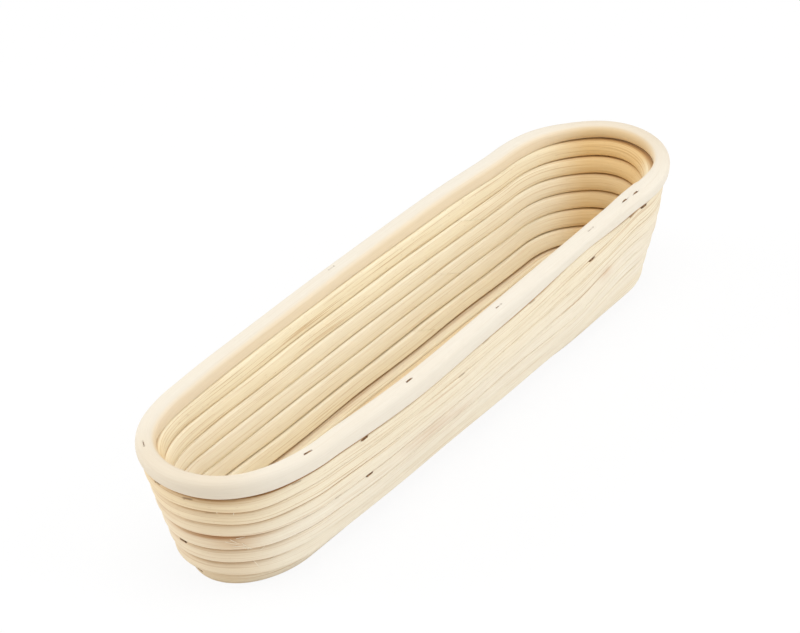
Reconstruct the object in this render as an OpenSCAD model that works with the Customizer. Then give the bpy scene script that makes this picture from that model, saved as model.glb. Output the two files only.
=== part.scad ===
// Long oval proofing basket, wound from half-round cane.
// X runs along the basket, Y across it and Z up; the base stands on Z = 0.
// The base is two straight core canes and one flat loop round them. The wall is one
// spiral that climbs a turn at a time on the front side, towards +X, under a round rim.

/* [Winding] */
// Length of the straight middle of the oval
core_length = 300; // [220:1:360]
// Turns of cane stacked in the wall, below the rim
wall_turns = 7; // [5:1:9]
// Length of a rounded end at the foot of the wall, beyond the straight middle
foot_end = 41.7; // [36:0.1:50]
// Outward lean of the rounded ends, from the lowest turn to the rim
end_flare = 21.5; // [8:0.1:26]
// Outward lean of the long sides, from the lowest turn to the rim
side_flare = 18.8; // [8:0.1:24]
// Roundness of the long sides at their foot, where 1 is a straight wall
side_power = 0.62; // [0.55:0.01:1]
// Outward bow of the long sides at the rim
side_bow = 1.9; // [0:0.1:6]
// Clearance between neighbouring turns of cane
turn_gap = 0.45; // [0.4:0.05:1]
// Clearance between the canes of the base at their rounded ends
end_clear = 0.9; // [0.8:0.05:1.5]
// Length of the front side over which a turn climbs to the next level
climb_length = 66; // [50:1:110]
// Straight length left between the climb and the far end's curve
climb_margin = 3; // [1:0.5:10]

/* [Wound cane] */
// Height of the cane
cane_h = 9.55; // [8:0.05:12]
// Depth of the cane, from its flat outside to its round inside
cane_d = 11.6; // [9:0.1:13]
// Squareness of the flat outside, where 2 is an ellipse
outer_power = 5; // [3:0.5:8]
// Share of the wall's lean that a cane's section follows; the rest shows as ledges
section_lean = 0.35; // [0.2:0.05:0.8]
// Depth of the flat on the underside of the base
stand_flat = 0.5; // [0.3:0.1:1]
// Thickness left at the shaved ends of the winding
shaved_tip = 1.5; // [1:0.1:3]

/* [Splices] */
// Length of the slanting cut where two canes of the wall meet
splice_length = 24; // [12:1:40]
// Place on the back side of the lowest splice, from the middle
splice_x = 20; // [-40:1:60]
// Shift of each splice from the one below
splice_shift = 30; // [0:1:40]
// Clearance across a splice
splice_gap = 0.3; // [0.2:0.05:0.6]

/* [Rim and laps] */
// Diameter of the rim cane
rim_d = 10.9; // [9.5:0.1:14]
// Length of the slanting lap between the two ends of the rim or of the base loop
lap_length = 46; // [30:1:60]
// Length of the rim's inner tip that runs on round the far end's curve
rim_tip_past = 10.5; // [0:0.5:14]
// Straight length left between the tip of the base loop's lap and the far end's curve
lap_margin = 2; // [1:0.5:12]
// Clearance across a lap
lap_gap = 0.45; // [0.42:0.01:0.8]

/* [Staples] */
// Width of a staple's crown
crown = 6; // [5:0.5:8]
// Thickness of the wire
wire = 0.8; // [0.5:0.1:1.2]
// Width of the flat wire
wire_w = 1.2; // [0.8:0.1:1.6]
// How far a staple's legs enter the second cane
bite = 4; // [2:0.5:5]
// Depth of a crown below the surface that it is driven into
sunk = 0.25; // [0.1:0.05:0.6]
// Lean of a wall staple's legs, inwards from straight down
staple_lean = 33; // [28:1:38]
// Drop of the lowest turn's staples below the middle of the cane
foot_drop = 1.5; // [1.3:0.1:2.5]
// Staples on the back side of a wall turn, and on each long side of the base loop
side_staples = 4; // [2:1:6]
// Staples on the back side of the lowest turn
foot_side_staples = 7; // [4:1:8]
// Staples round the far end of a turn
end_staples = 2; // [1:1:3]
// Distance of the first lap staple from the rim's tip
lap_staple_at = 13.5; // [8:0.5:18]
// Distance of the two lap staples from each other
lap_staple_step = 12.5; // [10:0.5:14]

/* [Hidden] */
wall_canes = 4;

// Places of the staples along the front side and round the near end, as shares of that
// stretch, for the lowest turn and each turn above it
front_marks = [[0.1, 0.325, 0.475, 0.62, 0.725, 0.86, 0.975], [0.15, 0.5, 0.775, 0.875],
               [0.345, 0.395, 0.46, 0.575, 0.705, 0.84, 0.925], [0.03, 0.12, 0.795],
               [0.19, 0.58, 0.75, 0.87], [0.385, 0.54, 0.82, 0.975], [0.09, 0.455, 0.605, 0.72]];
near_marks = [[0.14, 0.42, 0.92], [0.22, 0.56, 0.89], [0.44, 0.79], [0.18, 0.64, 0.91],
              [0.25, 0.52, 0.83], [0.17, 0.61], [0.42, 0.55, 0.87]];
// Places of the rim's staples, as shares of the whole turn
rim_marks = [0.054, 0.146, 0.244, 0.344, 0.4415, 0.5525, 0.654, 0.746, 0.839, 0.9445];

cane_colour = [0.91, 0.84, 0.70];
core_colour = [0.87, 0.79, 0.63];
rim_colour = [0.95, 0.90, 0.80];
steel_colour = [0.62, 0.60, 0.56];

// Rings along the winding and sides of its section
sides = 12;
arc_steps = 10;
run_steps = 6;
front_steps = 4;
climb_steps = 6;
core_sides = 48;

half = core_length / 2;
pitch = cane_h + turn_gap;
climb_end = half - climb_margin;
lap_tip = half - lap_margin;
base_z = cane_h / 2 - stand_flat;
top_z = base_z + (wall_turns - 1) * pitch;
rim_z = top_z + (cane_h + rim_d) / 2 + turn_gap;

// Distances of the middle lines of the canes in the base from the long middle line, and
// lengths of their rounded ends
core_y = (cane_d + turn_gap) / 2;
base_side = core_y + cane_d + turn_gap;
foot_side = base_side + cane_d + turn_gap;
base_end = foot_end - cane_d - end_clear;

// One turn as a length, taken at the middle of the wall; a share of it, from 0 to 1,
// is a place on any turn, counted from the end of the climb
arc_length = PI * (foot_end + end_flare / 2 + foot_side + side_flare / 2) / 2;
far_arc_at = half - climb_end;
back_at = far_arc_at + arc_length;
near_arc_at = back_at + core_length;
front_at = near_arc_at + arc_length;
turn_length = front_at + half + climb_end;
climb_at = turn_length - climb_length;
climb_share = climb_at / turn_length;

function part_of(t) = t - floor(t);
function smooth(f) = f * f * (3 - 2 * f);
function unsmooth(f) = 0.5 - sin(asin(1 - 2 * f) / 3);
function climbed(share) =
    share < climb_share ? 0 : smooth((share - climb_share) / (1 - climb_share));
function share_where_climbed(f) = climb_share + (1 - climb_share) * unsmooth(f);

// Levels: 0 is the lowest turn of the wall, 1 the turn on it and so on up
function height_at(level) = base_z + level * pitch;
function end_at(level) = foot_end + end_flare * level / wall_turns;
function side_at(level) = foot_side + side_flare * pow(level / wall_turns, side_power);
function bow_at(level) = side_bow * level / wall_turns;

// Place in plan on an oval with straight or bowed sides and half ellipses at its ends:
// [x, y, outward x, outward y]
function bowed(x, side, bow) = side + bow * pow(1 - pow(x / half, 2), 2);
function on_front(x, side, bow) = [x, -bowed(x, side, bow), 0, -1];
function on_back(x, side, bow) = [x, bowed(x, side, bow), 0, 1];
function on_end(x, angle, end, side) =
    let (out = [cos(angle) / end, sin(angle) / side], unit = out / norm(out))
    [x + end * cos(angle), side * sin(angle), unit[0], unit[1]];
function plan(share, end, side, bow) = let (s = share * turn_length)
    s < far_arc_at ? on_front(climb_end + s, side, bow) :
    s < back_at ? on_end(half, 180 * (s - far_arc_at) / arc_length - 90, end, side) :
    s < near_arc_at ? on_back(half - (s - back_at), side, bow) :
    s < front_at ? on_end(-half, 180 * (s - near_arc_at) / arc_length + 90, end, side) :
    on_front(s - front_at - half, side, bow);
function plan_at(share, level) = plan(share, end_at(level), side_at(level), bow_at(level));

// Lean of the wall between two levels at a place in plan, where 0 is upright
function lean(low, high, at) =
    atan2((end_at(high) - end_at(low)) * pow(at[2], 2)
          + (side_at(high) - side_at(low)) * pow(at[3], 2), (high - low) * pitch);
function tilt_at(level, at) =
    section_lean * min(level / 2, 1) * lean(max(level - 0.5, 0), level + 0.5, at);

// Unit section: a superellipse that is squarer outside (+) than inside (-)
function power_of(v, n) = sign(v) * pow(abs(v), 2 / n);
function section(count, outer) = [for (i = [0 : count - 1])
    let (a = 360 * i / count, n = cos(a) > 0 ? outer : 2)
    [power_of(cos(a), n), power_of(sin(a), n)]];
cane_section = section(sides, outer_power);
rim_section = section(sides, 2);

// A point of the winding at t turns. Its first stretch is shaved to a wedge under the turn
// that climbs over it, and its last to a wedge on the climbing turn, so that the wall is
// level at its foot and at its top.
function cane_point(t, p) =
    let (turn = floor(t), f = climbed(part_of(t)),
         starting = turn < 0, ending = turn >= wall_turns - 1 && f > 0,
         level = starting ? 0 : ending ? wall_turns - 1 : turn + f,
         tall = starting ? f * pitch - turn_gap : ending ? cane_h - f * pitch : cane_h,
         across = p[0] * cane_d / 2,
         up = p[1] * tall / 2 + (ending ? 1 : -1) * (cane_h - tall) / 2,
         at = plan_at(part_of(t), level),
         tilt = tilt_at(level, at),
         out = across * cos(tilt) + up * sin(tilt),
         rise = up * cos(tilt) - across * sin(tilt))
    [at[0] + at[2] * out, at[1] + at[3] * out, max(0, height_at(level) + rise)];

// A point of a level loop with its ends lapped: the loop in the base, and the rim
function base_point(t, p) =
    let (at = plan(part_of(t), base_end, base_side, 0), out = p[0] * cane_d / 2)
    [at[0] + at[2] * out, at[1] + at[3] * out, max(0, base_z + p[1] * cane_h / 2)];
function rim_point(t, p) =
    let (at = plan_at(part_of(t), wall_turns), out = p[0] * rim_d / 2)
    [at[0] + at[2] * out, at[1] + at[3] * out, rim_z + p[1] * rim_d / 2];

// Places of the rings on one turn
function steps(from, to, count) = [for (i = [0 : count - 1]) from + (to - from) * i / count];
marks = [for (s = concat(steps(0, far_arc_at, 1), steps(far_arc_at, back_at, arc_steps),
                         steps(back_at, near_arc_at, run_steps),
                         steps(near_arc_at, front_at, arc_steps),
                         steps(front_at, climb_at, front_steps),
                         steps(climb_at, turn_length, climb_steps))) s / turn_length];
function marks_between(from, to) = [for (turn = [floor(from) : floor(to)], m = marks)
    let (t = turn + m) if (t > from && t < to) t];

// Splices: a slanting cut, leaning by half its length each way of its place on the back side
slant = splice_length / 2 / turn_length;
splice_clear = splice_gap * sqrt(1 + pow(splice_length / cane_h, 2)) / turn_length;
function splice(i) = floor(i * wall_turns / wall_canes)
    + (back_at + half - splice_x - i * splice_shift) / turn_length;
winding_start = share_where_climbed((shaved_tip + turn_gap) / pitch) - 1;
winding_end = wall_turns - 1 + share_where_climbed((cane_h - shaved_tip) / pitch);
function cane_from(i) = i == 1 ? winding_start : splice(i - 1) + splice_clear / 2;
function cane_to(i) = i == wall_canes ? winding_end : splice(i) - splice_clear / 2;

function cane_rings(i) =
    let (from = cane_from(i), to = cane_to(i),
         from_slant = i == 1 ? 0 : slant, to_slant = i == wall_canes ? 0 : slant)
    concat([[for (p = cane_section) cane_point(from + from_slant * p[1], p)]],
           [for (t = marks_between(from + from_slant, to - to_slant))
               [for (p = cane_section) cane_point(t, p)]],
           [[for (p = cane_section) cane_point(to + to_slant * p[1], p)]]);

// Laps: a loop's ends are cut on a slant in plan, with the end that shows inside
lap_lean = lap_length / 2 / turn_length;
function lap_clear(depth) = lap_gap * sqrt(1 + pow(lap_length / depth, 2)) / turn_length;
tip_at = front_at + core_length + rim_tip_past;
base_tip_at = front_at + half + lap_tip;
function loop_to(tip) = (tip - lap_length / 2) / turn_length;
function rim_ring(t, lean) = [for (p = rim_section) rim_point(t - lean * p[0], p)];
function base_ring(t, lean) = [for (p = cane_section) base_point(t - lean * p[0], p)];
rim_to = loop_to(tip_at) - lap_clear(rim_d) / 2;
rim_from = loop_to(tip_at) + lap_clear(rim_d) / 2 - 1;
base_to = loop_to(base_tip_at) - lap_clear(cane_d) / 2;
base_from = loop_to(base_tip_at) + lap_clear(cane_d) / 2 - 1;
rim_rings = concat([rim_ring(rim_from, lap_lean)],
                   [for (t = marks_between(rim_from + lap_lean, rim_to - lap_lean)) rim_ring(t, 0)],
                   [rim_ring(rim_to, lap_lean)]);
base_rings = concat([base_ring(base_from, lap_lean)],
                    [for (t = marks_between(base_from + lap_lean, base_to - lap_lean)) base_ring(t, 0)],
                    [base_ring(base_to, lap_lean)]);

// Least distance between two outlines, from the points of each to the edges of the other
function to_edge(p, a, b) =
    let (ab = b - a, f = min(max((p - a) * ab / (ab * ab), 0), 1)) norm(p - a - ab * f);
function to_outline(p, ring) = min([for (i = [0 : len(ring) - 1])
    to_edge(p, ring[i], ring[(i + 1) % len(ring)])]);
function between(a, b) = min(min([for (p = a) to_outline(p, b)]), min([for (p = b) to_outline(p, a)]));
function cane_gap(i) = min([for (t = marks_between(cane_from(i) + slant, cane_to(i) - slant - 1))
    between([for (p = cane_section) cane_point(t, p)], [for (p = cane_section) cane_point(t + 1, p)])]);
for (i = [1 : wall_canes]) echo(str("least gap of wall_cane_", i, " to itself, mm: ", cane_gap(i)));
echo(str("least gap of rim_cane to itself, mm: ",
         between(rim_ring(rim_from + 1, lap_lean), rim_ring(rim_to, lap_lean))));
echo(str("least gap of base_cane to itself, mm: ",
         between(base_ring(base_from + 1, lap_lean), base_ring(base_to, lap_lean))));

// A closed tube of triangles through rings of points
module tube(rings) {
    n = len(rings[0]);
    last = (len(rings) - 1) * n;
    walls = [for (r = [0 : len(rings) - 2], i = [0 : n - 1])
        let (a = r * n + i, b = r * n + (i + 1) % n) each [[a, b, b + n], [a, b + n, a + n]]];
    ends = [for (i = [1 : n - 2]) each [[0, i + 1, i], [last, last + i, last + i + 1]]];
    polyhedron([for (ring = rings) each ring], concat(walls, ends));
}

module cane(i) {
    color(cane_colour) tube(cane_rings(i));
}

// One straight core cane, trimmed round at both ends to fit inside the base loop
module core(side) {
    side_room = base_side - cane_d / 2 - turn_gap;
    end_room = base_end - cane_d / 2 - end_clear;
    color(core_colour) intersection() {
        translate([0, side * core_y, base_z]) rotate([90, 0, 90])
            linear_extrude(core_length + 2 * end_room, center = true)
                polygon([for (p = section(core_sides, outer_power))
                    [side * p[0] * cane_d / 2, max(p[1] * cane_h / 2, -base_z)]]);
        union() {
            translate([-half, -side_room, 0]) cube([core_length, 2 * side_room, cane_h]);
            for (end = [-half, half]) translate([end, 0, 0]) scale([end_room / side_room, 1, 1])
                cylinder(h = cane_h, r = side_room, $fn = 64);
        }
    }
}

module core_front() { core(-1); }
module core_back() { core(1); }
module base_cane() { color(core_colour) tube(base_rings); }
module wall_cane_1() { cane(1); }
module wall_cane_2() { cane(2); }
module wall_cane_3() { cane(3); }
module wall_cane_4() { cane(4); }
module rim_cane() { color(rim_colour) tube(rim_rings); }

// One staple with its crown along X, its legs down and the top of its crown at Z = 0
module staple(leg) {
    color(steel_colour) translate([0, wire_w / 2, 0]) rotate([90, 0, 0]) linear_extrude(wire_w)
        polygon([[-crown / 2, 0], [crown / 2, 0], [crown / 2, -leg], [crown / 2 - wire, -leg],
                 [crown / 2 - wire, -wire], [wire - crown / 2, -wire], [wire - crown / 2, -leg],
                 [-crown / 2, -leg]]);
}

// A staple driven into a cane at a place in plan: lean is the way that its legs point,
// from 0, straight down, to 90, straight in, and depth is the crown's distance from the middle
module driven(at, z, lean, depth, leg) {
    translate([at[0], at[1], z]) rotate([0, 0, atan2(at[2], -at[3])]) rotate([lean, 0, 0])
        translate([0, 0, depth - sunk]) staple(leg);
}

// A staple driven into the outer shoulder of a cane whose section tilts with the wall
shoulder = power_of(cos(45), outer_power) / 2;
module driven_at_shoulder(at, z, tilt, leg) {
    translate([at[0], at[1], z]) rotate([0, 0, atan2(at[2], -at[3])]) rotate([tilt, 0, 0])
        translate([0, -shoulder * cane_d, shoulder * cane_h]) rotate([staple_lean - tilt, 0, 0])
            translate([0, 0, -sunk]) staple(leg);
}

wall_leg = cane_h + turn_gap + bite;
rim_leg = rim_d + turn_gap + bite;
foot_leg = cane_d + turn_gap + bite;

// Places of staples as shares of a turn: by the lists above, or evenly spread over a stretch,
// odd turns between even ones, and each a little off its place as if driven by hand
function listed(marks, level, from, to) = [for (share = marks[level % len(marks)])
    (from + (to - from) * share) / turn_length];
function front_places(level) = listed(front_marks, level, front_at, front_at + core_length);
function near_places(level) = listed(near_marks, level, near_arc_at, front_at);
function by_hand(level, i) = (level % 2 == 0 ? 0.27 : 0.73) + 0.1 * sin(97 * level + 151 * i);
function spread(level, from, to, count) = [for (i = [0 : count - 1])
    (from + (to - from) * (i + by_hand(level, i)) / count) / turn_length];
function back_places(level, count) = spread(level, back_at, near_arc_at, count);
function far_places(level) = spread(level, far_arc_at, back_at, end_staples);

// The wall staples at one turn's places, driven down through it into the turn below; they
// climb with their turn, apart from the top one's
module wall_row(turn, places) {
    for (share = places)
        let (level = turn + (turn < wall_turns - 1 ? climbed(part_of(share)) : 0),
             at = plan_at(part_of(share), level))
            driven_at_shoulder(at, height_at(level), tilt_at(level, at), wall_leg);
}
levels = [1 : wall_turns - 1];
module front_staples() { for (level = levels) wall_row(level, front_places(level)); }
module back_staples() { for (level = levels) wall_row(level, back_places(level, side_staples)); }
module near_end_staples() { for (level = levels) wall_row(level, near_places(level)); }
module far_end_staples() { for (level = levels) wall_row(level, far_places(level)); }

// Staples driven straight in from the outside of a flat turn, into the cane inside it
module flat_row(end, side, z, places) {
    for (share = places) driven(plan(share, end, side, 0), z, 90, cane_d / 2, foot_leg);
}
module base_staples() {
    flat_row(base_end, base_side, base_z,
             concat(spread(0, front_at, climb_at, side_staples), back_places(0, side_staples)));
}
module foot_staples() {
    flat_row(foot_end, foot_side, base_z - foot_drop,
             concat(front_places(0), back_places(0, foot_side_staples), far_places(0),
                    near_places(0)));
}

// The rim's staples, driven down into the top turn
module rim_row(places) {
    for (share = places)
        let (at = plan_at(share, wall_turns))
            driven(at, rim_z, lean(wall_turns - 1, wall_turns, at), rim_d / 2, rim_leg);
}
module rim_staples() { rim_row(rim_marks); }

// Two staples near the tip of the rim's lap
module scarf_staples() {
    rim_row([for (i = [0, 1]) part_of((tip_at - lap_staple_at - i * lap_staple_step) / turn_length)]);
}

core_front();
core_back();
base_cane();
wall_cane_1();
wall_cane_2();
wall_cane_3();
wall_cane_4();
rim_cane();
base_staples();
foot_staples();
front_staples();
back_staples();
near_end_staples();
far_end_staples();
rim_staples();
scarf_staples();
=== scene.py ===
"""Long oval proofing basket, wound from pale cane: its surfaces, finishes, staples and stage."""

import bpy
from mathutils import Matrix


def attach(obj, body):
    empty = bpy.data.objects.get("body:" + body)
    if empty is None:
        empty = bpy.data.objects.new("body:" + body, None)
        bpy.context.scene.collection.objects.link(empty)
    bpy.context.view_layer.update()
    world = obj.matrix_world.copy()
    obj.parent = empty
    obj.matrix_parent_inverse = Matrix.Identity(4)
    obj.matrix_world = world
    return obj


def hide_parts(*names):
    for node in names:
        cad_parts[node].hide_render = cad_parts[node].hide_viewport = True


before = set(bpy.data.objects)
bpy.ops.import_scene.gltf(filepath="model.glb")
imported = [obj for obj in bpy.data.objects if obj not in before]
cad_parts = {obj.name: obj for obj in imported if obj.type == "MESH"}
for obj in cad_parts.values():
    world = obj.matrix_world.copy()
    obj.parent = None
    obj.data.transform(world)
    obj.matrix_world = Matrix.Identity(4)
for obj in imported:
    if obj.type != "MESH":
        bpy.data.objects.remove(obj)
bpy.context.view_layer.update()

from types import SimpleNamespace

import bpy
import numpy as np
from bpy.props import FloatProperty, FloatVectorProperty, IntProperty, PointerProperty
from mathutils import Matrix

bl_info = {
    "name": "Proofing basket",
    "version": (1, 0, 0),
    "blender": (4, 5, 0),
    "location": "3D View > Sidebar > Basket",
    "description": "Dresses a long oval basket of wound cane with its canes, staples and finishes",
    "category": "Add Mesh",
}

MM = 0.001
BODY = "root"


def length(name, default, description):
    """A length in the sidebar, given here in millimetres."""
    return FloatProperty(name=name, description=description, default=default * MM, unit="LENGTH", precision=5)


def share(name, default, description):
    """A plain number in the sidebar."""
    return FloatProperty(name=name, description=description, default=default, precision=4)


def angle(name, default, description):
    """An angle in the sidebar, given here in degrees."""
    return FloatProperty(name=name, description=description, default=np.radians(default), subtype="ANGLE")


def count(name, default, description):
    """A whole number in the sidebar."""
    return IntProperty(name=name, description=description, default=default)


def colour(name, default, description):
    """A colour in the sidebar, given here as 8-bit screen values."""
    linear = [((v / 255 + 0.055) / 1.055) ** 2.4 if v > 10 else v / 255 / 12.92 for v in default]
    return FloatVectorProperty(name=name, description=description, default=linear, size=3, subtype="COLOR",
                               min=0.0, max=1.0)


class WindingSizes(bpy.types.PropertyGroup):
    """Sizes of the oval, of the wall's spiral and of the canes."""
    core_length: length("Core length", 300, "Length of the straight middle of the oval")
    wall_turns: count("Wall turns", 7, "Turns of cane below the rim")
    foot_end: length("Foot end", 41.7, "Length of a rounded end at the foot of the wall")
    end_flare: length("End flare", 21.5, "Outward lean of the rounded ends, from the foot to the rim")
    side_flare: length("Side flare", 18.8, "Outward lean of the long sides, from the foot to the rim")
    side_power: share("Side roundness", 0.62, "Roundness of the long sides, where 1 is a straight wall")
    side_bow: length("Side bow", 1.9, "Outward bow of the long sides at the rim")
    turn_gap: length("Turn gap", 0.45, "Clearance between neighbouring turns in the frame")
    end_clear: length("End clearance", 0.9, "Clearance between the base canes at their rounded ends")
    climb_length: length("Climb", 66, "Length of the front side over which a turn climbs a level")
    climb_margin: length("Climb margin", 3, "Straight length between the climb and the far end")
    cane_height: length("Cane height", 9.55, "Height of the wound cane in the frame")
    cane_depth: length("Cane depth", 11.6, "Depth of the wound cane, from outside to inside")
    stand_flat: length("Stand flat", 0.5, "Depth of the flat on the underside of the base")
    shaved_tip: length("Shaved tip", 0.6, "Thickness left at the shaved ends of the winding")
    crease_gap: length("Crease gap", 0.06, "Room left in the crease between two turns")
    outer_power: share("Outside squareness", 4.2, "Squareness of the flat outside, where 2 is an ellipse")
    inner_power: share("Inside squareness", 7.0, "Squareness of the inside, where 2 is an ellipse")
    inner_belly: share("Inside belly", 0.07, "Share of its half depth that it loses to a crease")
    section_lean: share("Section lean", 0.2, "Share of the wall's lean that canes follow at the ends")
    side_lean: share("Side lean", 0.85, "Share of the wall's lean that canes follow on the sides")
    flat_power: share("Side squareness", 9.0, "Squareness of the outside on the sides")
    foot_shaved: share("Foot shaved", 0.33, "Share of its outer half that the lowest turn has lost to wear")
    rim_depth: length("Rim diameter", 10.9, "Diameter of the rim cane")
    rim_power: share("Rim squareness", 2.25, "Squareness of the rim's section, where 2 is an ellipse")
    rim_side_power: share("Rim side squareness", 3.0, "Squareness of the rim's upper half on the long sides")
    rim_low_power: share("Rim low squareness", 6.0, "Squareness of the rim's lower half on the long sides")
    splice_length: length("Splice length", 24, "Length of the slanting cut where two wall canes meet")
    splice_x: length("Splice place", 20, "Place on the back of the lowest splice, from the middle")
    splice_shift: length("Splice shift", 30, "Shift of each splice from the one below")
    splice_gap: length("Splice gap", 0.1, "Clearance across a splice")
    lap_length: length("Lap length", 46, "Length of the slanting lap of a loop's two ends")
    rim_tip_past: length("Rim tip", 14.5, "Length of the rim's tip that runs on round the far end")
    tip_bulge: length("Tip bulge", 2.3, "How far the rim's tip stands out into the basket")
    lap_margin: length("Lap margin", 2, "Straight length between the base loop's lap and the far end")
    lap_gap: length("Lap gap", 0.03, "Clearance across a lap")
    uneven: length("Unevenness", 0.2, "How far a crease wanders up and down")
    ring_step: length("Ring step", 2.2, "Distance between the rings of points along a cane")
    fine_step: length("Fine step", 0.7, "Distance between the rings beside a staple")
    section_points: count("Section points", 48, "Points round a wall cane")
    rim_points: count("Rim points", 64, "Points round the rim")
    wall_canes: count("Wall canes", 4, "Canes spliced into the wall")
    seed: count("Seed", 7, "Seed of the unevenness of the canes")


class StapleSizes(bpy.types.PropertyGroup):
    """Sizes and counts of the wire staples."""
    crown: length("Crown", 6, "Width of a staple's crown")
    wire: length("Wire thickness", 0.8, "Thickness of the flat wire")
    wire_width: length("Wire width", 1.2, "Width of the flat wire")
    bite: length("Bite", 4, "How far the legs enter the second cane")
    sunk: length("Sunk", 0.25, "Depth of a base staple's crown below the surface")
    below: length("Below", 0.3, "Least depth of a crown below the surface, in its slot")
    deeper: length("Deeper", 1.0, "How much deeper the least visible crowns lie")
    slot_depth: length("Slot depth", 0.6, "Depth of the slot that a crown presses into the cane")
    slot_width: length("Slot width", 0.5, "Half width of that slot")
    height: share("Height", 0.92, "Height of a wall staple on the half section of its cane")
    lower_at_bends: share("Lower at bends", 0.24, "How much lower a wall staple sits round the ends")
    lean: angle("Lean", 33, "Lean of a wall staple's legs, inwards from straight down")
    foot_drop: length("Foot drop", 1.5, "Drop of the lowest staples below the middle of the cane")
    side_count: count("Side staples", 4, "Staples on the back of a wall turn")
    foot_count: count("Foot staples", 7, "Staples on the back of the lowest turn")
    end_count: count("End staples", 2, "Staples round the far end of a turn")
    lap_at: length("Lap staple", 19, "Distance of the first lap staple from the rim's tip")
    lap_step: length("Lap staple step", 11.5, "Distance of the two lap staples from each other")
    seed: count("Seed", 3, "Seed of how dark and deep each staple is")


class FinishColours(bpy.types.PropertyGroup):
    """Colours of the cane and of the staples."""
    outside: colour("Outside", (243, 235, 216), "Peeled cane on the outside of the wall")
    # The colours of the bends are darker, tanner copies of the same cane's colours: painted shade round the
    # ends, which get less light
    outside_bent: colour("Outside of bends", (238, 222, 194), "Outside round the ends, tanned by bending")
    inside: colour("Inside", (247, 240, 219), "Cane on the inside of the wall")
    inside_bent: colour("Inside of bends", (229, 202, 156), "Inside of the wall round its ends")
    rim: colour("Rim", (232, 225, 211), "Pale, sanded cane of the rim")
    rim_bent: colour("Bends of the rim", (227, 216, 197), "Outside of the rim round the ends")
    rim_inside: colour("Inside of the rim", (243, 231, 209), "Inside of the rim on the sides")
    rim_inside_bent: colour("Inside of its bends", (222, 198, 158), "Inside of the rim round the ends")
    base: colour("Base", (240, 222, 190), "Cane in the base")
    # The creases' brown is partly the cane's own brown in its joints and partly painted shade for the shadow
    # in the creases and under the rim
    crease: colour("Crease", (172, 118, 56), "Brown in the creases between the turns")
    # Painted shade: the shadow that each overhanging turn casts on the top of the turn below, painted as a
    # tan that deepens upwards to the crease
    shade: colour("Shade", (188, 148, 88), "Tan that deepens upwards to a crease on the outside")
    streak: colour("Streak", (196, 156, 100), "Brown fibres in the cane")
    blush: colour("Blush", (194, 144, 92), "Reddish smudges on the outside")
    steel: colour("Steel", (156, 120, 78), "Wire of the staples")
    # Oxide is the wire's own colour; laid into the slots under the staples it is painted shade
    rust_and_slot_shade: colour("Rust", (96, 62, 30), "Dark oxide on the wire and in its slots")


class StageSizes(bpy.types.PropertyGroup):
    """Camera, light and floor."""
    azimuth: angle("Azimuth", -52.5565, "Camera's place round the basket")
    elevation: angle("Elevation", 30.8052, "Camera's height above the horizon")
    roll: angle("Roll", -3.8696, "Camera's roll")
    distance: length("Distance", 1919.8952, "Camera's distance from the middle of the basket")
    shift_right: length("Shift right", -13.5467, "Camera's shift to the right of the middle")
    shift_up: length("Shift up", 50.6766, "Camera's shift above the middle")
    focal_pixels: share("Focal length", 3430.1958, "Focal length in pixels of the image")
    image_width: count("Image width", 800, "Width of the image in pixels")
    sensor: share("Sensor", 36, "Width of the sensor in millimetres")
    sky: share("Sky", 0.66, "Strength of the even light from all round")
    floor_white: share("Floor white", 0.9, "Share of plain white in the floor as the camera sees it")


# Lamps: name, place in metres, size in metres and power in watts
LAMPS = (("key", (0.5, -1.4, 1.0), 1.3, 9.5),
         ("side", (-1.0, 1.5, 0.9), 1.2, 13.0),
         ("overhead", (-0.1, -0.3, 2.0), 1.3, 13.0))
# Half width of the floor and nearest and farthest view in metres, the floor's depth below the basket
# in millimetres, and its grey
FLOOR_REACH, VIEW_FROM, VIEW_TO = 6.0, 0.05, 50.0
FLOOR_BELOW = 0.2
FLOOR_GREY = 0.9

# Places of the staples along the front side and round the near end, as shares of that
# stretch, for the lowest turn and each turn above it
FRONT_MARKS = [[0.1, 0.325, 0.475, 0.62, 0.725, 0.86, 0.975], [0.15, 0.5, 0.775, 0.875],
               [0.345, 0.395, 0.46, 0.575, 0.705, 0.84, 0.925], [0.03, 0.12, 0.795],
               [0.19, 0.58, 0.75, 0.87], [0.385, 0.54, 0.82], [0.09, 0.455, 0.605, 0.72, 0.998]]
NEAR_MARKS = [[0.14, 0.42, 0.92], [0.22, 0.56, 0.89], [0.44, 0.79], [0.18, 0.64, 0.91],
              [0.25, 0.52, 0.83], [0.17, 0.61], [0.42, 0.55, 0.87]]
# Places of the rim's staples, as shares of the whole turn
RIM_MARKS = [0.054, 0.146, 0.244, 0.344, 0.4415, 0.5525, 0.654, 0.746, 0.839, 0.9445]
# How clearly each of those staples shows, from 0 to 1
FRONT_CLEAR = [[1.0, 0.2, 0.3, 0.2, 0.2, 0.2, 0.2], [0.1, 0.3, 0.1, 0.2],
               [0.3, 0.35, 0.1, 0.1, 0.2, 0.3, 0.1], [0.5, 1.0, 0.3],
               [0.1, 0.2, 0.3, 0.1], [0.5, 0.2, 0.9], [1.0, 0.4, 0.5, 0.2, 1.0]]
NEAR_CLEAR = [[0.2, 1.0, 0.3], [0.2, 0.3, 0.2], [0.9, 0.2], [0.8, 0.2, 0.3],
              [0.2, 0.3, 0.2], [0.5, 0.4], [0.65, 0.62, 0.5]]
RIM_CLEAR = [0.3, 0.3, 0.4, 0.9, 0.4, 0.88, 1.0, 1.0, 0.9, 0.9]
LAP_CLEAR = [1.0, 1.0]
# The most that the other staples show, and the least share of it
FAINT = {"back": 0.4, "far_end": 0.3, "foot": 0.3}
FAINTEST = 0.4
# Where a staple sits in its stretch on even and odd turns, how far off it can be, and the degrees that
# this changes by from turn to turn and from staple to staple
EVEN_AT, ODD_AT = 0.27, 0.73
HAND_OFF, HAND_TURN, HAND_STEP = 0.1, 97, 151
# Height in the section within which a foot staple stays
FOOT_STAPLE_REACH = 0.9
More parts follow.
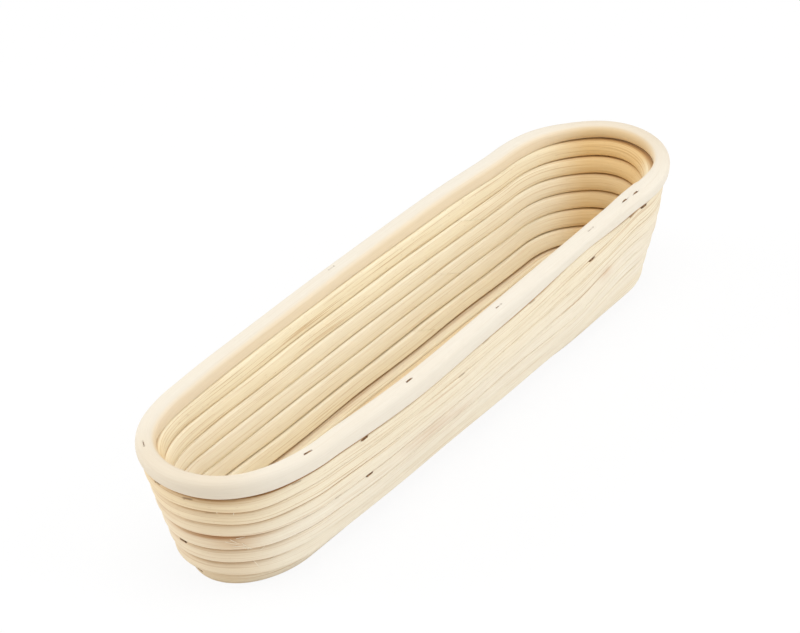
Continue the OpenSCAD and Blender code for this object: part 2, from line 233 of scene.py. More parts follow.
# Section of the wire in shares of its width and thickness, the radius of its shoulders in
# thicknesses, and the angles at their rings
WIRE_SECTION = np.array([[-0.5, -0.35], [-0.5, 0.35], [-0.3, 0.5], [0.3, 0.5],
                         [0.5, 0.35], [0.5, -0.35], [0.3, -0.5], [-0.3, -0.5]])
SHOULDER_RADIUS, SHOULDER_ANGLES = 0.9, (90, 60, 30, 0)
# Slots under the staples: half length and places of the legs in crowns, squareness of the ends,
# width of a leg's mark, and reach above and below the surface in millimetres
SLOT_HALF, LEG_AT, SLOT_POWER = 0.56, 0.45, 8
LEG_WIDE, SLOT_ABOVE, SLOT_BELOW = 0.6, 0.5, 2.5
# How dark the painted shade in the middle of a slot is in the wall and in the rim, and how much wider the
# rim's slots are
WALL_SLOT_DARK, RIM_SLOT_DARK, RIM_SLOT_WIDER = 1.0, 0.5, 1.7

# Slow unevenness: kinds of wave and sines in each, and least and most waves in a turn
WAVES = (3, 6)
WAVE_RATES = (2.2, 9.7)
# Uneven places of a wall cane: shift outwards in millimetres, the shift's lag in turns, and shares
# of the depth of the wall's canes and of the rim
SHIFT, SHIFT_LAG = 0.3, 0.37
UNEVEN_DEPTH, UNEVEN_RIM = 0.02, 0.015
# Where the rim hangs or rises: place along the turn, reach before and after it, drop of the rim's top
# and drop of the crease under it, in millimetres
RIM_SAGS = ((300, 150, 140, 0.8, -0.3), (550, 30, 30, 2.0, 3.2), (640, 45, 60, 2.3, 2.6),
            (872, 30, 18, -1.0, -1.0), (75, 60, 60, 0.6, -1.0), (898, 30, 34, 0.0, -2.6))
# How fast the creases lose that sag downwards, as a power
SAG_POWER = 3
# Where the wall's turns hang: place, reach before and after it, levels over which it grows from
# nothing to all, and drop, in millimetres
TURN_SAGS = ((553, 16, 16, 3.2, 5.5, 2.1), (640, 26, 26, 0.5, 1.5, 1.1), (75, 50, 50, 1.0, 4.5, -1.5))
# Where the front hangs and rises: place from its middle, reach before and after it and drop or rise
# in millimetres, with the rise of the lower turns last; and the levels over which these grow
FRONT_DIP, DIP_GROWS = (-62, 46, 66, 1.8), (-0.3, 1.9)
FRONT_LIFT, LIFT_GROWS = (86, 50, 30, 3.4, -0.9), (2.2, 5.4)
# Where the near end's curve begins: place from the front's end, reach before and after it, and rise
NEAR_LIFT = (-14, 16, 26, 1.5)
# Where the oval strays outwards: place, reach before and after it, stray of the rim, of the wall and
# of the wall's lower turns; and the levels over which the wall's strays grow and the lower ones fade
STRAYS = ((456, 24, 17, -1.7, -1.0, 0.0), (497, 20, 24, -0.7, -1.6, 0.0), (35, 30, 30, 1.2, -0.7, -1.2),
          (150, 30, 36, -2.9, -1.8, 0.0), (104, 16, 16, -1.6, -0.8, 0.0))
STRAY_GROWS, LOW_STRAY_FADES = (1, 5), (4, 2)
# Where the lowest turn is worn the most: place and reach before and after it; how much more it is
# worn there, and how much its wedge is worn
WORN = ((510, 30, 26), (15, 35, 35))
MORE_WORN, WEDGE_WORN = 0.8, 0.3

# Bends at which the form of the long sides is over, for the wall and for the rim
SIDE_BEND, RIM_SIDE_BEND = 0.7, 0.5
# How much flatter the outside is on the sides, and how much rounder the inside is at the bends
FLATTER, ROUNDER = 0.8, 0.6
# Levels over which the canes come to lean and to be flush inside, and least half height of a cane
# in millimetres
LEAN_GROWS, FLUSH_GROWS = (0, 2), (0.3, 1.3)
LEAST_TALL = 0.2
# Rings beside a staple, in millimetres: how far they reach and how far they keep from a cane's ends;
# and the least distance of two rings in fine steps
FINE_REACH, FINE_MARGIN, LEAST_STEP = 6, 2, 0.4
# Angles at which a section's points begin, in the crease over a cane and under it
TOP_SEAM, LOW_SEAM = 90, 270
# Length over which a slanting cut fades into a cane, in half lengths of the cut
CUT_FADE = 3
# The rim's tip: its blunt end in half depths, length of its bulge and of its round end in millimetres,
# how much the round end falls back, and how much the other end bulges over it
TIP_BLUNT, TIP_LENGTH, TIP_ROUND, TIP_FALL, START_BULGE = 0.76, 30, 3, 0.5, 0.6
# Where the inside of the rim is slimmer, past its tip: place, reach before and after it; and by how much
SLIM_AT, SLIMMER = (28, 14, 24), 0.3

# Zones of a section in half depths or half heights: where each begins and where it is full
INSIDE, RIM_INSIDE, TIP_SIDE = (-0.35, 0.45), (0.45, 0.95), (0.4, 0.7)
CREASE_LINE, BASE_LINE, RIM_LINE = (0.92, 0.98), (0.95, 1.0), (0.93, 1.0)
SHOULDER, SHADED = (0.76, 0.92), (-0.15, 0.9)
# How brown the creases are inside, with more at the bends, and under the rim: partly the joints' own brown
# and partly painted shade
INSIDE_BROWN, BEND_BROWN, RIM_BROWN = 0.2, 0.5, 0.6
# Painted shade on the outside: how far the sides get it; where it is full, its reach before and after it, and
# its least
SIDE_SHADE = 0.08
FULL_SHADE_AT, LEAST_SHADE = (548, 36, 60), 0.6
# Tone of each turn of the wall, from the lowest up, where 1 is tanned and striped; the place in the
# turn that has it; and the tones of the base. The lowest turn is tanner as painted shade near the base
TURN_TONES = [0.35, 0.1, -0.1, -0.2, 0.0, 0.4, 0.7, 0.7]
TONE_AT, LOOP_TONE, CORE_TONE = 0.3, 0.1, 0.2
# Streaks and grain of each finish
STREAKS = {"rim_finish": (0.12, 0.06), "wall_finish": (0.55, 0.15), "base_finish": (0.6, 0.2)}
# Lots of the canes, where the wall's are 1 and up, and the core's lie beside the one given; shift of
# the grain from lot to lot in metres; and angles in degrees past which an edge is sharp
RIM_LOT, CORE_LOT, LOOP_LOT = 5, 6, 9
LOT_SHIFT = 0.05
CANE_SHARP, WIRE_SHARP = 50, 40
# Smudges on the outside: place, half length and half height in millimetres, and strength
SMUDGES = [((-57, -47.5, 32), 21, 4.5, 0.45), ((115, -50, 43), 6, 4, 0.4), ((-199, -24, 34), 11, 3.5, 0.4),
           ((-30, -48, 29), 9, 2.5, 0.25), ((-203, -14, 38.5), 22, 1.7, 0.95)]
# Loose fibres: start in turns, start in the section's height, and how far they run along, up and out
FIBRES = [(5.6139, 0.65, 0.5, 5.0, 1.2), (5.6060, 0.75, -0.4, 2.6, 0.9), (2.6174, 0.80, 2.0, 5.3, 1.5),
          (3.6153, 0.05, 4.2, -2.8, 1.0), (2.6199, -0.70, 3.6, -5.1, 1.2), (3.6096, 0.55, 5.2, -2.7, 0.7),
          (3.6070, 0.30, 6.5, -1.2, 0.5), (3.6105, -0.30, 6.0, 0.8, 0.7), (3.6125, 0.70, 4.4, 1.4, 0.8),
          (3.6160, -0.50, 4.6, -1.0, 0.6), (1.6290, 0.70, 3.0, 1.6, 0.7), (2.6240, 0.60, 2.4, 2.2, 0.9)]
# A fibre's root inside the cane in shares of its length, its rings and sides, its radius in
# millimetres, and how much of that is lost at the tip
FIBRE_ROOT, FIBRE_RINGS, FIBRE_SIDES = -0.12, 9, 6
FIBRE_RADIUS, FIBRE_TAPER = 0.18, 0.7


def ramp(x, start, stop):
    """A straight rise from 0 at start to 1 at stop."""
    return np.clip((x - start) / (stop - start), 0, 1)


def smooth(x, start=0, stop=1):
    """A rise from 0 at start to 1 at stop with level ends: f squared times (3 - 2 f)."""
    f = ramp(x, start, stop)
    return f * f * (3 - 2 * f)


def unsmooth(f):
    """The x at which smooth has a value, from 0 to 1."""
    return 0.5 - np.sin(np.arcsin(1 - 2 * f) / 3)


def bell(x, middle, left, right):
    """A bell curve with its own width on each side of its middle."""
    wide = np.where(x < middle, left, right)
    return np.exp(-((x - middle) / wide) ** 2)


def half_width(height, power):
    """Half width of a unit superellipse at a height: the n-th root of 1 - |height|^n."""
    return np.maximum(1 - np.abs(height) ** power, 0) ** (1 / power)


def outward(plan, out, z):
    """Points at a distance outwards from places on an oval, at a height."""
    x, y, out_x, out_y = plan
    return np.stack(np.broadcast_arrays(x + out_x * out, y + out_y * out, z), -1)


class Winding:
    """The basket's oval and spiral as functions of the turn, from the sizes in the sidebar."""

    def __init__(self, sizes):
        s = self.sizes = sizes
        self.half = s.core_length / 2
        self.turns = s.wall_turns
        self.pitch = s.cane_height + s.turn_gap
        self.climb_end = self.half - s.climb_margin
        self.base_z = s.cane_height / 2 - s.stand_flat
        self.top_z = self.base_z + (self.turns - 1) * self.pitch
        self.rim_z = self.top_z + (s.cane_height + s.rim_depth) / 2 + s.turn_gap
        self.core_y = (s.cane_depth + s.turn_gap) / 2
        self.base_side = self.core_y + s.cane_depth + s.turn_gap
        self.foot_side = self.base_side + s.cane_depth + s.turn_gap
        self.base_end = s.foot_end - s.cane_depth - s.end_clear
        self.arc = np.pi * (s.foot_end + s.end_flare / 2 + self.foot_side + s.side_flare / 2) / 2
        self.far_at = self.half - self.climb_end
        self.back_at = self.far_at + self.arc
        self.near_at = self.back_at + s.core_length
        self.front_at = self.near_at + self.arc
        self.front_end = self.front_at + s.core_length
        self.turn_length = self.front_at + self.half + self.climb_end
        self.climb_at = self.turn_length - s.climb_length
        self.climb_share = self.climb_at / self.turn_length
        self.slant = s.splice_length / 2 / self.turn_length
        self.lap_lean = s.lap_length / 2 / self.turn_length
        self.tip_at = self.front_end + s.rim_tip_past
        self.base_tip_at = self.front_end - s.lap_margin
        draws = np.random.default_rng(s.seed)
        self.wave_rates = draws.uniform(*WAVE_RATES, WAVES)
        self.wave_starts = draws.uniform(0, 2 * np.pi, WAVES)

    def climbed(self, place):
        """Share of a level that a turn has climbed at a share of the turn."""
        return smooth(place, self.climb_share, 1)

    def level(self, t):
        """Level of the winding at t turns: whole turns, with a climb at the end of each."""
        return np.floor(t) + self.climbed(t - np.floor(t))

    def end_at(self, level):
        """Length of a rounded end at a level."""
        return self.sizes.foot_end + self.sizes.end_flare * level / self.turns

    def side_at(self, level):
        """Distance of a long side from the middle at a level."""
        rise = np.maximum(level, 0) / self.turns
        return self.foot_side + self.sizes.side_flare * rise ** self.sizes.side_power

    def plan(self, place, end, side, bow):
        """Place on an oval at a share of a turn: runs at y = side + bow (1 - (x / half)^2)^2 and
        half ellipses at the ends. Returns x, y and the outward unit direction's x and y."""
        s = place * self.turn_length
        far = (s >= self.far_at) & (s < self.back_at)
        back = (s >= self.back_at) & (s < self.near_at)
        near = (s >= self.near_at) & (s < self.front_at)
        turned = np.where(far, s - self.far_at - self.arc / 2, s - self.near_at + self.arc / 2)
        turn = np.pi * turned / self.arc
        run_x = np.where(s < self.far_at, self.climb_end + s, s - self.front_at - self.half)
        run_x = np.where(back, self.half - (s - self.back_at), run_x)
        sign = np.where(back, 1.0, -1.0)
        run_y = sign * (side + bow * (1 - np.clip(run_x / self.half, -1, 1) ** 2) ** 2)
        ends = far | near
        out_x, out_y = np.cos(turn) / end, np.sin(turn) / side
        size = np.hypot(out_x, out_y)
        middle = np.where(far, self.half, -self.half)
        return (np.where(ends, middle + end * np.cos(turn), run_x),
                np.where(ends, side * np.sin(turn), run_y),
                np.where(ends, out_x / size, 0.0), np.where(ends, out_y / size, sign))

    def hump(self, place, middle, before, after):
        """A bell round the turn, with its middle and reaches in millimetres along the turn."""
        round_turn = self.turn_length / MM
        off = (place * round_turn - middle + round_turn / 2) % round_turn - round_turn / 2
        return bell(off, 0, before, after)

    def stray(self, place, level):
        """How far the hand-wound oval lies outside its plan: a sum of bells round the turn."""
        rim = ramp(level, self.turns - 1, self.turns)
        wall = ramp(level, *STRAY_GROWS) * (1 - rim)
        low = ramp(level, 0, 1) * ramp(level, *LOW_STRAY_FADES)
        return MM * sum((at_rim * rim + at_wall * wall + at_low * low) * self.hump(place, *reach)
                        for *reach, at_rim, at_wall, at_low in STRAYS)

    def plan_at(self, place, level):
        """Place on the wall's oval at a level, with its stray."""
        bow = self.sizes.side_bow * level / self.turns
        x, y, out_x, out_y = self.plan(place, self.end_at(level), self.side_at(level), bow)
        off = self.stray(place, level)
        return x + out_x * off, y + out_y * off, out_x, out_y

    def lean(self, low, high, out_x, out_y):
        """Lean of the wall between two levels, where 0 is upright."""
        ends = (self.end_at(high) - self.end_at(low)) * out_x ** 2
        sides = (self.side_at(high) - self.side_at(low)) * out_y ** 2
        return np.arctan2(ends + sides, (high - low) * self.pitch)

    def gap(self, bend):
        """Clearance in plan between neighbouring canes of the base, wider at the bends."""
        return self.sizes.turn_gap + (self.sizes.end_clear - self.sizes.turn_gap) * bend

    def wave(self, kind, t):
        """Slow unevenness along the winding, about -1 to 1: a sum of sines in turns."""
        rates, starts = self.wave_rates[kind], self.wave_starts[kind]
        return sum(np.sin(2 * np.pi * r * t + a) for r, a in zip(rates, starts)) / (len(rates) / 2)

    def front_bell(self, place, middle, before, after):
        """A bell along the front side, with its reaches, and its place from the side's middle, in
        millimetres."""
        x = place * self.turn_length - self.front_at - self.half
        return bell(x / MM, middle, before, after)

    def dip(self, place):
        """How far the front side hangs down left of its middle: a bell."""
        *reach, drop = FRONT_DIP
        return MM * drop * self.front_bell(place, *reach)

    def rim_sag(self, place):
        """How far the rim's top and the crease under it hang: sums of bells round the turn."""
        bells = [self.hump(place, *sag[:3]) for sag in RIM_SAGS]
        return [MM * sum(drop * f for drop, f in zip(drops, bells)) for drops in list(zip(*RIM_SAGS))[3:]]

    def rim_top(self, place):
        """Height of the rim's top, which hangs with the front side."""
        return self.rim_z + self.sizes.rim_depth / 2 - self.dip(place) - self.rim_sag(place)[0]

    def by_rim(self, level):
        """How near a crease is to the one under the rim, from 0 at the next one down to 1."""
        return ramp(level, self.turns - 1.5, self.turns - 0.5)

    def sag(self, place, level):
        """How far the creases run off their level, as sums of bells: up where the near end's curve
        begins, down left of the front's middle, up or down before the climb, and down where the
        turns hang. The crease under the rim goes with the rim."""
        near_at, near_before, near_after, near_rise = NEAR_LIFT
        *lift_at, high_rise, low_rise = FRONT_LIFT
        near = near_rise * self.front_bell(place, near_at - self.half / MM, near_before, near_after)
        high = smooth(level, *LIFT_GROWS)
        lift = (high_rise * high + low_rise * (1 - high)) * self.front_bell(place, *lift_at)
        hang = sum(drop * ramp(level, low, full) * self.hump(place, *reach)
                   for *reach, low, full, drop in TURN_SAGS)
        dip = ramp(level, *DIP_GROWS) * self.dip(place)
        top = self.by_rim(level)
        under_rim = self.rim_sag(place)[1] * top ** SAG_POWER
        return MM * (ramp(level, 0, 1) * (near + lift) - (1 - top) * hang) - dip - under_rim

    def crease(self, t, level):
        """Height of the crease at a level above the turn at t: its level, its sag and a slow wander."""
        place = t - np.floor(t)
        top = self.by_rim(level)
        raised = ramp(level, -0.5, 0.5)
        wander = (1 - top) * self.wave(0, t) + top * self.wave(1, place)
        off = self.sag(place, level) + self.sizes.uneven * wander
        return self.base_z + level * self.pitch + raised * off

    def seat(self, t):
        """Where the winding's cane lies at t turns: its middle, outward direction, half height and
        depth, tilt and the extra lean of its inside. It fills the room between two creases."""
        s = self.sizes
        place = t - np.floor(t)
        lowest, highest = -0.5, self.turns - 0.5
        over = np.clip(self.level(t) + 0.5, lowest, highest)
        under = np.clip(self.level(t - 1) + 0.5, lowest, highest)
        over_z, under_z = self.crease(t, over), self.crease(t - 1, under)
        level = (over + under) / 2
        x, y, out_x, out_y = self.plan_at(place, np.maximum(level, 0))
        lean = self.lean(np.maximum(level - 0.5, 0), level + 0.5, out_x, out_y)
        bend = out_x ** 2
        side = 1 - smooth(bend, 0, SIDE_BEND)
        tilt = (s.section_lean + (s.side_lean - s.section_lean) * side) * ramp(level, *LEAN_GROWS) * lean
        foot = 1 - ramp(level, 0, 1)
        shift = SHIFT * MM * self.wave(2, t + SHIFT_LAG) * (1 - foot)
        climbed_out = (self.side_at(level) - self.foot_side) * out_y ** 2
        worn = s.foot_shaved * foot * (1 + MORE_WORN * sum(self.hump(place, *reach) for reach in WORN))
        tall = (over_z - under_z) / 2 / np.cos(tilt) - s.crease_gap / 2
        return SimpleNamespace(
            foot=foot, bend=bend, side=side, tilt=tilt, x=x + out_x * shift, y=y + out_y * shift,
            z=(over_z + under_z) / 2, out_x=out_x, out_y=out_y, tall=np.maximum(tall, LEAST_TALL * MM),
            deep=s.cane_depth / 2 * (1 + UNEVEN_DEPTH * self.wave(2, t)),
            worn=worn + WEDGE_WORN * ramp(level, 0, -0.5), fill=foot * (self.gap(bend) / 2 + climbed_out),
            flush=(np.tan(lean) - np.tan(tilt)) * ramp(level, *FLUSH_GROWS))

    def on_cane(self, seat, across, height):
        """Points of a section at a seat, at shares of its half depth and height: turned by its tilt,
        with the inside leaned like the whole wall so that the turns are flush there. The lowest turn
        is worn: its outer half is less deep, and round at the bottom, and its inner half fills the
        room to the base. The inside is rounder at the bends, and the outside flatter on the sides."""
        ellipse = half_width(height, 2)
        square = half_width(height, self.sizes.flat_power)
        raised = 1 - seat.foot
        flat_side = np.where(across > 0, FLATTER * seat.side * raised * (square - across), 0)
        round_foot = np.where((across > 0) & (height < 0), seat.foot * (ellipse - across), 0)
        round_bend = np.where(across < 0, ROUNDER * seat.bend * raised * (-ellipse - across), 0)
        across = across + flat_side + round_foot + round_bend
        deep = np.where(across > 0, seat.deep * (1 - seat.worn), seat.deep + seat.fill)
        right, up = across * deep, height * seat.tall
        out = right * np.cos(seat.tilt) + up * np.sin(seat.tilt) + up * seat.flush * smooth(-across)
        rise = up * np.cos(seat.tilt) - right * np.sin(seat.tilt)
        return outward((seat.x, seat.y, seat.out_x, seat.out_y), out, np.maximum(0, seat.z + rise))

    def on_outside(self, seat, height):
        """Points on the outside of the cane at a seat, at shares of its half height."""
        return self.on_cane(seat, half_width(height, self.sizes.outer_power), height)


def superellipse(points, outer, inner, start):
    """A unit section: |x|^n + |y|^n = 1 with its own n outside (+x) and inside (-x)."""
    a = np.radians(start) + 2 * np.pi * np.arange(points) / points
    power = 2 / np.where(np.cos(a) > 0, outer, inner)
    return (np.sign(np.cos(a)) * np.abs(np.cos(a)) ** power,
            np.sign(np.sin(a)) * np.abs(np.sin(a)) ** power)


def even_places(w, start, stop):
    """Places of rings in turns, evenly spread."""
    return np.linspace(start, stop, int((stop - start) * w.turn_length / w.sizes.ring_step))


def ring_places(w, start, stop, fine_at):
    """Places of rings in turns: evenly spread, and closer together beside each staple."""
    step = w.sizes.fine_step
    reach = np.arange(-FINE_REACH * MM, FINE_REACH * MM, step) / w.turn_length
    fine = (np.asarray(fine_at)[:, None] + reach).ravel()
    margin = FINE_MARGIN * MM / w.turn_length
    fine = fine[(fine > start + margin) & (fine < stop - margin)]
    places = np.sort(np.concatenate([even_places(w, start, stop), fine]))
    apart = np.diff(places, prepend=start - 1) > LEAST_STEP * step / w.turn_length
    places = places[apart]
    places[-1] = stop
    return places[:, None]


def ends_of(run, start, stop, half_cut):
    """How near each ring is to the start and to the stop of a cane, from 0 to 1 at the end, over the
    length in which a slanting cut fades."""
    fade = CUT_FADE * half_cut
    return ramp(run, start + fade, start), ramp(run, stop - fade, stop)


def inside_of(across):
    """How far a point of a section is on the inside: a smooth step from the middle inwards."""
    return smooth(-across, *INSIDE)


def cane_surface(w, start, stop, start_slant, stop_slant, fine_at):
    """A wall cane from start to stop in turns: a superellipse, with a slight belly on the inside,
    that fills the room between the crease under its turn and the crease over it, carried along the
    spiral. The cut ends slant by t + slant times the height in the section."""
    s = w.sizes
    across, height = superellipse(s.section_points, s.outer_power, s.inner_power, TOP_SEAM)
    across = np.where(across < 0, across * (1 - s.inner_belly * height ** 2), across)
    run = ring_places(w, start, stop, fine_at)
    at_start, at_stop = ends_of(run, start, stop, w.slant)
    t = run + height * (start_slant * at_start + stop_slant * at_stop)
    seat = w.seat(t)
    inside = inside_of(across)
    # Crease brown, partly painted shade; at the bends it spreads onto the top shoulder of the turn below, in
    # the shadow of the overhang
    line = smooth(np.abs(height), *CREASE_LINE)
    shoulder = seat.bend * smooth(height, *SHOULDER)
    inner_line = (INSIDE_BROWN + BEND_BROWN * seat.bend) * line
    # Painted shade under the overhang of the turn above: it deepens upwards to the crease, is faint on the
    # sides and fullest round the near end
    shade = smooth(height, *SHADED) ** 2 * (SIDE_SHADE + (1 - SIDE_SHADE) * seat.bend)
    shade *= LEAST_SHADE + (1 - LEAST_SHADE) * w.hump(t - np.floor(t), *FULL_SHADE_AT)
    return SimpleNamespace(points=w.on_cane(seat, across, height), along=t * w.turn_length, inside=inside,
                           crease=inside * inner_line + (1 - inside) * np.maximum(line, shoulder),
                           bend=seat.bend, shade=(1 - inside) * shade,
                           tone=np.interp(t, np.arange(len(TURN_TONES)) + TONE_AT, TURN_TONES))


def rim_surface(w, start, stop, fine_at):
    """The rim: a superellipse from the top turn's crease to the rim's top, squarer on the long
    sides, carried round the oval, with its ends cut on a slant in plan, t - lean times the depth
    in the section. The tip that shows inside is blunt and stands out a little, with a slimmer
    stretch past it."""
    s = w.sizes
    across, height = superellipse(s.rim_points, s.rim_power, s.rim_power, LOW_SEAM)
    run = ring_places(w, start, stop, fine_at)
    at_start, at_stop = ends_of(run, start, stop, w.lap_lean)
    t = run - w.lap_lean * (across * at_start + np.maximum(across, -TIP_BLUNT) * at_stop)
    place = t - np.floor(t)
    plan = w.plan_at(place, np.full_like(t, w.turns))
    bend = plan[2] ** 2
    inside = np.broadcast_to(smooth(-across, *RIM_INSIDE), t.shape)
    power = np.where(height < 0, s.rim_low_power, s.rim_side_power)
    square = np.sign(across) * half_width(height, power)
    across = across + (1 - smooth(bend, 0, RIM_SIDE_BEND)) * (square - across)
    gone, left = (part * w.turn_length / MM for part in (run - start, stop - run))
    tip = smooth(left, TIP_LENGTH, 0) * (1 - TIP_FALL * smooth(left, TIP_ROUND, 0))
    bulge = (tip + START_BULGE * smooth(gone, TIP_LENGTH, 0)) * smooth(-across, *TIP_SIDE)
    slim = np.where(across < 0, 1 - SLIMMER * w.hump(place, *SLIM_AT), 1)
    deep = s.rim_depth / 2 * slim * (1 + UNEVEN_RIM * w.wave(2, place))
    top = w.rim_top(place)
    bottom = w.crease(place + w.turns - 1, np.full_like(t, w.turns - 0.5)) + s.crease_gap
    z = (top + bottom) / 2 + height * (top - bottom) / 2
    # The brown line along the rim's underside is partly painted shade
    return SimpleNamespace(points=outward(plan, across * deep - s.tip_bulge * bulge, z),
                           along=t * w.turn_length, inside=inside, bend=bend, tone=0.0, shade=0.0,
                           crease=RIM_BROWN * smooth(-height, *RIM_LINE))


def base_section(w):
    """Section of a cane in the base, which stands on a flat: shares of its half depth, heights,
    and the values of its finish."""
    s = w.sizes
    across, height = superellipse(s.section_points, s.outer_power, s.inner_power, LOW_SEAM)
    z = np.maximum(0, w.base_z + height * s.cane_height / 2)
    line = smooth(np.abs(across), *BASE_LINE)
    return across, z, {"inside": inside_of(height), "crease": line, "shade": 0.0}


def loop_surface(w, start, stop):
    """The loop in the base: the cane's section carried flat round the inner oval, its ends cut
    on a slant in plan like the rim's."""
    s = w.sizes
    across, z, finish = base_section(w)
    run = even_places(w, start, stop)[:, None]
    t = run - w.lap_lean * across * sum(ends_of(run, start, stop, w.lap_lean))
    plan = w.plan(t - np.floor(t), w.base_end, w.base_side, 0.0)
    bend = plan[2] ** 2
    out = across * (s.cane_depth + w.gap(bend) - s.crease_gap) / 2
    return SimpleNamespace(points=outward(plan, out, z), along=t * w.turn_length, bend=bend, tone=LOOP_TONE,
                           **finish)


def core_surface(w, side):
    """A straight core cane: the section stretched along x to a half ellipse at each end, which
    fits inside the base loop."""
    s = w.sizes
    across, z, finish = base_section(w)
    side_room = w.base_side - (s.cane_depth + s.turn_gap) / 2
    end_room = w.base_end - (s.cane_depth + s.end_clear) / 2
    y = side * (w.core_y + across * (s.cane_depth + s.turn_gap - s.crease_gap) / 2)
    reach = w.half + end_room * half_width(y / side_room, 2)
    x = np.linspace(-1, 1, int(2 * w.half / s.ring_step))[:, None] * reach
    return SimpleNamespace(points=np.stack(np.broadcast_arrays(x, y, z), -1), along=x, bend=0.0,
                           tone=CORE_TONE * side, **finish)


def press_slots(points, slots):
    """Presses a slot into a surface under each staple's crown, down its legs: a bell across the
    wire and a flat-topped bell along the crown, with a bell at each leg. Returns the painted shade of
    each point, from 0 to 1: the middle as the slots say, and the ends, where the legs go in, more."""
    k = slots.sizes
    flat = points.reshape(-1, 3)
    slot_shade = np.zeros(len(flat))
    for origin, axes, show in zip(slots.origins, slots.axes, slots.shown):
        near = np.flatnonzero(np.abs(flat - origin).max(1) < k.crown)
        along, side, over = axes @ (flat[near] - origin).T
        push = np.exp(-(side / slots.width) ** 2 - (along / (SLOT_HALF * k.crown)) ** SLOT_POWER)
        push *= (over < SLOT_ABOVE * MM) & (over > -SLOT_BELOW * MM)
        legs = np.exp(-((np.abs(along) - LEG_AT * k.crown) / (LEG_WIDE * MM)) ** 2)
        flat[near] -= k.slot_depth * show * push[:, None] * axes[2]
        slot_shade[near] = np.maximum(slot_shade[near], show * push * np.maximum(slots.middle, legs))
    return slot_shade.reshape(points.shape[:2])


def smudged(points):
    """Strength of the smudges at each point: bells in plan and in height."""
    total = np.zeros(points.shape[:2])
    for place, long, tall, strength in SMUDGES:
        d = points / MM - np.array(place)
        flat = np.hypot(d[..., 0], d[..., 1]) / long
        total += strength * np.exp(-flat ** 2 - (d[..., 2] / tall) ** 2)
    return np.minimum(total, 1.0)


def tube_faces(tubes, rings, sides):
    """Faces of tubes of quads with a flat face on each end: quads and end faces, as corner indices."""
    index = np.arange(tubes * rings * sides).reshape(tubes, rings, sides)
    wrapped = np.roll(index, -1, 2)
    quads = np.stack([index[:, :-1], wrapped[:, :-1], wrapped[:, 1:], index[:, 1:]], -1)
    return quads.reshape(-1, 4), np.concatenate([index[:, 0, ::-1], index[:, -1]])


def put_mesh(name, tubes, finish, node, sharp, dress=None):
    """Makes a piece from an array of tubes, rings and points, with smooth shading and sharp cuts,
    turned the right side out: the sum of the volumes under its quads has to be more than 0."""
    quads, caps = tube_faces(*tubes.shape[:3])
    corners = tubes.reshape(-1, 3)
    loops = np.concatenate([quads.ravel(), caps.ravel()])
    sizes = np.concatenate([np.full(len(quads), 4), np.full(len(caps), tubes.shape[2])])
    mesh = bpy.data.meshes.new(name)
    mesh.vertices.add(len(corners))
    mesh.vertices.foreach_set("co", corners.astype(np.float32).ravel())
    mesh.loops.add(len(loops))
    mesh.loops.foreach_set("vertex_index", loops.astype(np.int32))
    mesh.polygons.add(len(sizes))
    mesh.polygons.foreach_set("loop_start", (np.cumsum(sizes) - sizes).astype(np.int32))
    mesh.update(calc_edges=True)
    mesh.polygons.foreach_set("use_smooth", np.ones(len(sizes), bool))
    mesh.materials.append(finish)
    if dress:
        dress(mesh)
    a, b, c, d = (corners[quads[:, i]] for i in range(4))
    if np.sum(a * np.cross(b, c)) + np.sum(a * np.cross(c, d)) < 0:
        mesh.flip_normals()
    mesh.validate()
    mesh.set_sharp_from_angle(angle=np.radians(sharp))
    piece = bpy.data.objects.new(name, mesh)
    bpy.context.scene.collection.objects.link(piece)
    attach(piece, BODY)
    if node:
        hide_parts(node)


def put_cane(name, surface, finish, lot, node, slots=None):
    """Makes a cane from rings of points, with a UV map of the lengths along and round it, and
    attributes for its finish. The lot shifts the map so that each cane has its own grain."""
    points = surface.points
    # The darkness in the slots and leg holes is painted shade
    slot_shade = press_slots(points, slots) if slots else 0.0
    values = {"inside": surface.inside, "crease": surface.crease, "bend": surface.bend, "tone": surface.tone,
              "shade": surface.shade, "slot_shade": slot_shade, "smudge": smudged(points) * (1 - surface.inside)}
    steps = np.linalg.norm(np.roll(points, -1, 1) - points, axis=2).mean(0)
    u = np.concatenate([surface.along, surface.along[:, :1]], 1)
    v = np.broadcast_to(np.concatenate([[0], np.cumsum(steps)]) + LOT_SHIFT * lot, u.shape)
    uv = np.stack([u, v], -1)
    quad_uv = np.stack([uv[:-1, :-1], uv[:-1, 1:], uv[1:, 1:], uv[1:, :-1]], 2).reshape(-1, 2)
    loop_uv = np.concatenate([quad_uv, uv[0, :-1][::-1], uv[-1, :-1]])

    def dress(mesh):
        """Puts the map and the attributes on the mesh."""
        layer = mesh.uv_layers.new(name="strand")
        layer.data.foreach_set("uv", loop_uv.astype(np.float32).ravel())
        for label, value in values.items():
            spread_out = np.broadcast_to(value, points.shape[:2])
            layer = mesh.attributes.new(label, "FLOAT", "POINT")
            layer.data.foreach_set("value", spread_out.astype(np.float32).ravel())

    put_mesh(name, points[None], finish, node, CANE_SHARP, dress)


